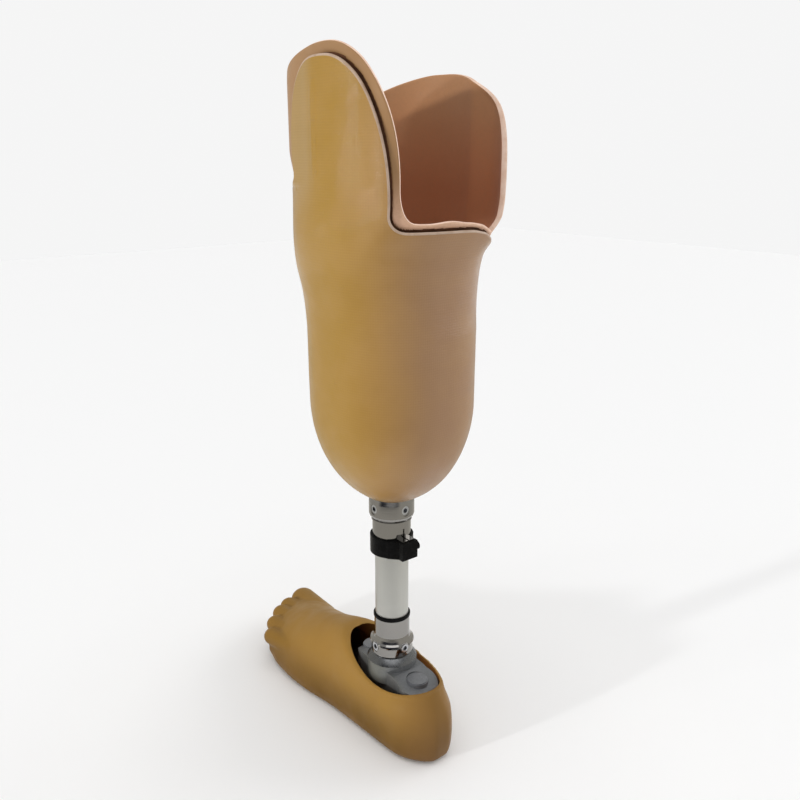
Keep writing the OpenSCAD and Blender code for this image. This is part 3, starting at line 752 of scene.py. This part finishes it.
def foot_ring(v, inset, low, short):
    """One ring of the foot: v = 0 is just above the sole, v = 1 the ankle rim."""
    inside = inset > 0
    rim_y = 50 if inside else 53
    rim_rear = heel_y + (14 if inside else 11)
    rim_half = 27 if inside else 30
    tip = tip_s - inset * 4 - short
    rear_z = mix(low, ankle_z + 10, v)
    rear = mix(heel_y + inset, rim_rear, v ** 1.6) - (2.4 if inside else 4) * math.sin(math.pi * v)
    front = mix(tip, rim_y, v ** 1.5)
    blunt = max(0, 1 - max(0, (front - tip + 26) / 26) ** 2.5) ** 0.4
    rim_z = ankle_z + 20
    instep_z = rim_z if v >= 1 else min(rim_z, max(low, (curve_at(instep_keys, front) - inset) * blunt))
    if inside:
        instep_z -= 14 * ease((1 - v) / 0.3) * ease(v / 0.3)
    ring = []
    for j in range(foot_cols):
        a = 2 * math.pi * j / foot_cols
        t = 0.5 - 0.5 * math.cos(a)
        s = mix(rear, front, t)
        lateral = j < foot_cols / 2
        dip = 15 if lateral else 6
        z = mix(rear_z, instep_z, t ** 1.2) - dip * v * v * math.sin(a) ** 2
        wide = side_x(lateral_keys if lateral else medial_keys, s, z, rear - 1, front + 3, inset)
        oval = rim_half * abs(math.sin(a)) ** mix(0.9, 0.68, ease((t - 0.4) / 0.4))
        x = 0 if abs(math.sin(a)) < 0.01 else mix(wide, oval, ease((v - 0.5) / 0.5))
        sign = -1 if lateral else 1
        ring.append((sign * x, s + curve_at(skew_keys, s) * sign * x, z + toe_spring(s)))
    return ring


def drawn_in(ring, across, fore, aft, z):
    """A ring of the sole: the given one scaled towards the foot's middle, at height z."""
    out, middle = [], 30
    for px, py, _ in ring:
        y = middle + (py - middle) * (fore if py > middle else aft)
        out.append((px * across, y, z + (toe_spring(y) if z > 0 else 0)))
    return out


toe_cut = 15
toe_flat = 0.92
TOES = [
    # root x, root y, tip x, tip y, root radius, tip radius, upper height at the tip
    (26, 156, 33.0, 208.6, 15.5, 14.0, 39.0),
    (9, 151, 10.0, 201.0, 12.0, 10.8, 38.5),
    (-5, 144, -6.5, 190.4, 11.6, 10.4, 40.0),
    (-17, 132, -23.0, 175.6, 11.4, 10.0, 40.0),
    (-28, 118, -35.6, 159.6, 11.2, 10.0, 38.0),
]


def ball_chain(bm, a, b, ra, rb):
    """A toe: spheres along a line, joined later by the remesh."""
    steps = 12
    for i in range(steps):
        t = i / (steps - 1)
        p = [mix(a[k], b[k], t) * MM for k in range(3)]
        r = mix(ra, rb, t) * MM
        made = bmesh.ops.create_icosphere(bm, subdivisions=3, radius=r)
        for v in made["verts"]:
            v.co.z *= toe_flat
            v.co += Vector(p)


def modifier(obj, kind, **settings):
    """Add a modifier, apply it, and leave the result in the mesh."""
    m = obj.modifiers.new(kind, kind)
    for key, value in settings.items():
        setattr(m, key, value)
    bpy.context.view_layer.update()
    done = obj.evaluated_get(bpy.context.evaluated_depsgraph_get())
    mesh = bpy.data.meshes.new_from_object(done)
    obj.modifiers.clear()
    obj.data = mesh


def foot_solid(name, inset, low, tail, short, lift=0.0):
    """Closed foot shape: the rings of the sole, those up to the ankle rim, and a lift above the rim."""
    rings = tail + [foot_ring(i / foot_rows, inset, low, short) for i in range(foot_rows + 1)]
    if lift:
        rings.append([(x, y, z + lift) for x, y, z in rings[-1]])
    points = [p for r in rings for p in r] + [centre(rings[0]), centre(rings[-1])]
    return new_piece(name, points, stack_faces(len(rings), foot_cols))


def sink_toes(obj):
    """Lower the end of the plain foot so that the toes stand out on top of it."""
    for v in obj.data.vertices:
        x, y, z = v.co / MM
        along = y - curve_at(skew_keys, y) * x
        v.co.z *= 1 - 0.12 * ease((along - 146) / 36) * ease((z - 14) / 12)


def foot_outside():
    """The foot with its toes, as one closed skin."""
    base = foot_ring(0, 0, sole_edge, toe_cut)
    tail = [
        drawn_in(base, 0.78, 0.64, 0.88, 0), drawn_in(base, 0.9, 0.86, 0.95, 2),
        drawn_in(base, 0.97, 0.97, 0.985, 6),
    ]
    foot = foot_solid("foot_cover", 0, sole_edge, tail, toe_cut)
    sink_toes(foot)
    bm = bmesh.new()
    bm.from_mesh(foot.data)
    for rx, ry, tx, ty, ra, rb, top in TOES:
        ball_chain(bm, (rx, ry, 30), (tx, ty, top - toe_flat * rb), ra, rb)
        ball_chain(bm, (rx, ry, 20), (tx + 0.04 * (20 - tx), ty - 4, 7 + toe_flat * rb), ra - 1, rb - 1)
    bm.to_mesh(foot.data)
    bm.free()
    modifier(foot, "REMESH", mode="VOXEL", voxel_size=0.0013)
    modifier(foot, "SMOOTH", iterations=16, factor=0.5)
    foot.data.materials.clear()
    foot.data.materials.append(M["foot"])
    return foot


def foot_hollow():
    """What is cut out of the foot: the room for the springs, open above the ankle rim."""
    wall, floor, hollow_cut = 2.6, sole_t + 8, 28
    base = foot_ring(0, wall, floor, hollow_cut)
    tail = [drawn_in(base, 0.84, 0.9, 0.9, sole_t), drawn_in(base, 0.96, 0.97, 0.97, sole_t + 2)]
    cavity = foot_solid("foot_hollow", wall, floor, tail, hollow_cut, lift=20.0)
    sink_toes(cavity)
    cavity.data.materials.append(M["foot_inside"])
    return cavity


def build_foot():
    foot, cavity = foot_outside(), foot_hollow()
    modifier(foot, "BOOLEAN", operation="DIFFERENCE", object=cavity, solver="EXACT", material_mode="TRANSFER")
    bpy.data.objects.remove(cavity)
    foot.data.polygons.foreach_set("use_smooth", [True] * len(foot.data.polygons))
    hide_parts("foot_shell")
    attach(foot, "foot")


# ---------------------------------------------------------------- carried-over CAD nodes

CAD_LOOKS = {
    "socket_anchor": "dark", "socket_pyramid": "dark", "anchor_screws": "dark",
    "tube_clamp": "polished", "clamp_band": "band", "clamp_screw": "band",
    "socket_side_set_screws": "screw", "socket_front_set_screw": "screw", "socket_rear_set_screw": "screw",
    "pylon_tube": "tube", "tube_seal_ring": "seal", "ankle_receiver": "polished",
    "ankle_fore_aft_set_screws": "screw", "ankle_medial_set_screw": "screw",
    "ankle_lateral_set_screw": "screw", "ankle_pyramid": "dark", "pyramid_bolt": "dark",
    "foot_adapter": "cast", "adapter_pad": "seal", "adapter_bolts": "dark", "adapter_bolt_caps": "cap",
    "forefoot_spring": "carbon", "heel_spring": "carbon", "spring_bolts": "dark", "heel_cushion": "seal",
}


def dress_cad_nodes():
    for node, look in CAD_LOOKS.items():
        mesh = frame["nodes"][node].data
        mesh.materials.clear()
        mesh.materials.append(M[look])


# ---------------------------------------------------------------- floor, light and camera

view_bearing = 38.6


def build_stage():
    size = 4.0
    corners = [(-size, -size, 0), (size, -size, 0), (size, size, 0), (-size, size, 0)]
    mesh = bpy.data.meshes.new("studio_floor")
    mesh.from_pydata(corners, [], [(0, 1, 2, 3)])
    floor = bpy.data.objects.new("studio_floor", mesh)
    bpy.context.scene.collection.objects.link(floor)
    s = Shader("pale_floor")
    s.shade(Base_Color=(0.96, 0.96, 0.96), Roughness=0.7)
    mesh.materials.append(s.material)


def build_reflector():
    """Round wall that only reflections see: dark above towards the viewer, pale elsewhere."""
    steps, radius, height = 96, 0.33, 0.34
    points = circle(radius, 0.002, steps) + circle(radius, height, steps)
    faces = [(i, (i + 1) % steps, steps + (i + 1) % steps, steps + i) for i in range(steps)]
    mesh = bpy.data.meshes.new("reflector")
    mesh.from_pydata(points, [], faces)
    wall = bpy.data.objects.new("reflector", mesh)
    bpy.context.scene.collection.objects.link(wall)
    for kind in ("camera", "diffuse", "transmission", "volume_scatter", "shadow"):
        setattr(wall, "visible_" + kind, False)
    s = Shader("reflector")
    x, y, z = s.axes()
    turned = math.radians(view_bearing + 12)
    back = s.maths("MULTIPLY", y, -math.cos(turned) / radius)
    facing = s.maths("MULTIPLY_ADD", x, -math.sin(turned) / radius, back)
    shade = s.maths("MULTIPLY", s.fade(facing, 0.5, 0.85), s.fade(z, 0.085, 0.105))
    glow = s.put("Emission", Color=s.blend(shade, (0.62, 0.6, 0.55), (0.05, 0.052, 0.065)))
    s.links.new(glow.outputs[0], s.nodes["Material Output"].inputs["Surface"])
    mesh.materials.append(s.material)


def sun(name, towards, strength, spread, glossy=True):
    """Soft light from far away, in the direction towards; spread is its width in degrees."""
    data = bpy.data.lights.new(name, "SUN")
    data.energy = strength
    data.angle = math.radians(spread)
    lamp = bpy.data.objects.new(name, data)
    lamp.visible_glossy = glossy
    lamp.rotation_euler = (-Vector(towards)).to_track_quat("-Z", "Y").to_euler()
    bpy.context.scene.collection.objects.link(lamp)


def build_world():
    """Even grey light; the camera sees the tone of the far floor instead."""
    world = bpy.data.worlds.new("studio")
    world.use_nodes = True
    bpy.context.scene.world = world
    nodes, links = world.node_tree.nodes, world.node_tree.links
    background = nodes["Background"]
    background.inputs["Color"].default_value = (1.0, 1.0, 1.0, 1)
    background.inputs["Strength"].default_value = 0.5
    seen = nodes.new("ShaderNodeLightPath")
    backdrop = nodes.new("ShaderNodeBackground")
    backdrop.inputs["Color"].default_value = (1, 1, 1, 1)
    backdrop.inputs["Strength"].default_value = 0.916
    both = nodes.new("ShaderNodeMixShader")
    links.new(seen.outputs["Is Camera Ray"], both.inputs[0])
    links.new(background.outputs[0], both.inputs[1])
    links.new(backdrop.outputs[0], both.inputs[2])
    links.new(both.outputs[0], nodes["World Output"].inputs[0])


def build_camera():
    bearing, pitch, distance, height = math.radians(view_bearing), math.radians(16.6), 0.672, 0.5215
    ahead = Vector((math.sin(bearing), math.cos(bearing), 0))
    right = Vector((math.cos(bearing), -math.sin(bearing), 0))
    data = bpy.data.cameras.new("camera")
    data.lens = 37.35
    data.sensor_width = 36
    data.clip_start = 0.01
    camera = bpy.data.objects.new("camera", data)
    camera.location = -ahead * distance + right * 0.0074 + Vector((0, 0, height))
    look = ahead * math.cos(pitch) - Vector((0, 0, math.sin(pitch)))
    camera.rotation_euler = look.to_track_quat("-Z", "Y").to_euler()
    bpy.context.scene.collection.objects.link(camera)
    bpy.context.scene.camera = camera


build_shell()
build_liner()
build_pad()
build_foot()
dress_cad_nodes()
build_stage()
build_world()
build_reflector()
sun("key_left", (-1.425, 0.19, 0.3), 1.1, 3, glossy=False)
sun("glint_left", (-1.4, 0.36, 0.1), 0.4, 3)
sun("fill_right", (1.5, -0.35, 0.3), 1.6, 50)
sun("top_soft", (-0.2, -0.3, 1.9), 1.0, 60)
build_camera()
bpy.context.scene.view_settings.view_transform = "Standard"
